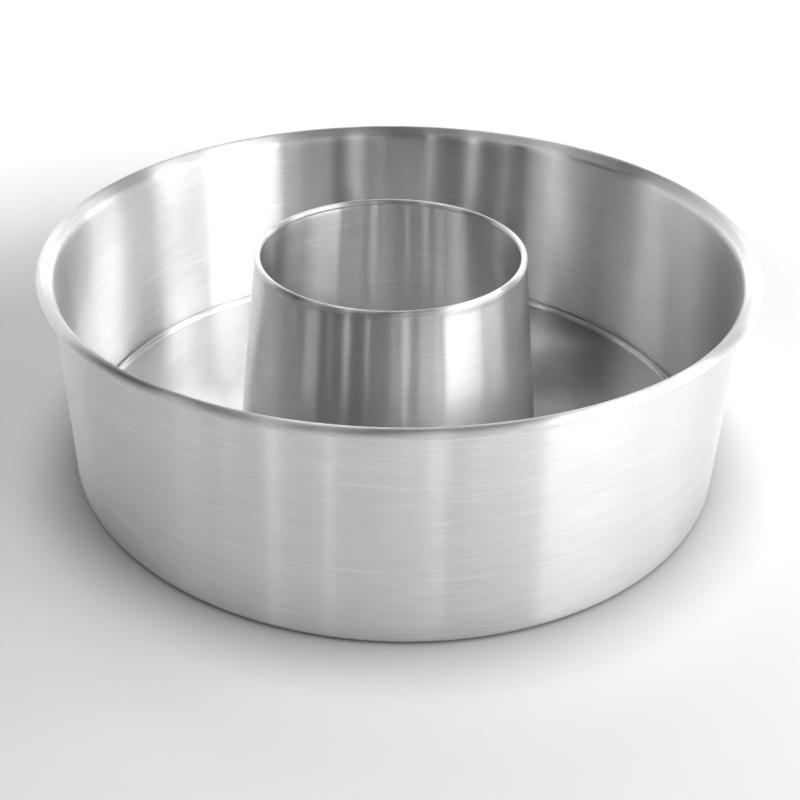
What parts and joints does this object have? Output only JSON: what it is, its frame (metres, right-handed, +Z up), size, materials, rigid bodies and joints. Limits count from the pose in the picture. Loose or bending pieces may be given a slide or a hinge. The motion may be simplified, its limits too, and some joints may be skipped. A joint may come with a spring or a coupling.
{
  "type": "angel food cake pan",
  "caption": "Round aluminium cake pan with a deep side, a rolled rim and a loose base that carries a wide centre tube, for baking tall ring cakes.",
  "frame": {"origin": "centre of the face that the pan rests on", "axes": "+Z up, along the axis that every piece is turned about"},
  "size_m": [0.25, 0.25, 0.08],
  "materials": {
    "ring_aluminium": "spun, satin, with fine rings round the wall",
    "base_aluminium": "turned, satin, with fine rings round the centre",
    "tube_aluminium": "spun, satin, with fine rings round the cone"
  },
  "bodies": {
    "ring": {"outer_ring": "ring_aluminium"},
    "insert": {"loose_base": "base_aluminium", "centre_tube": "tube_aluminium"}
  },
  "joints": [
    {"name": "insert_lift", "type": "slide", "parent": "ring", "child": "insert", "axis": [0, 0, 1], "range_m": [0, 0.09]}
  ]
}
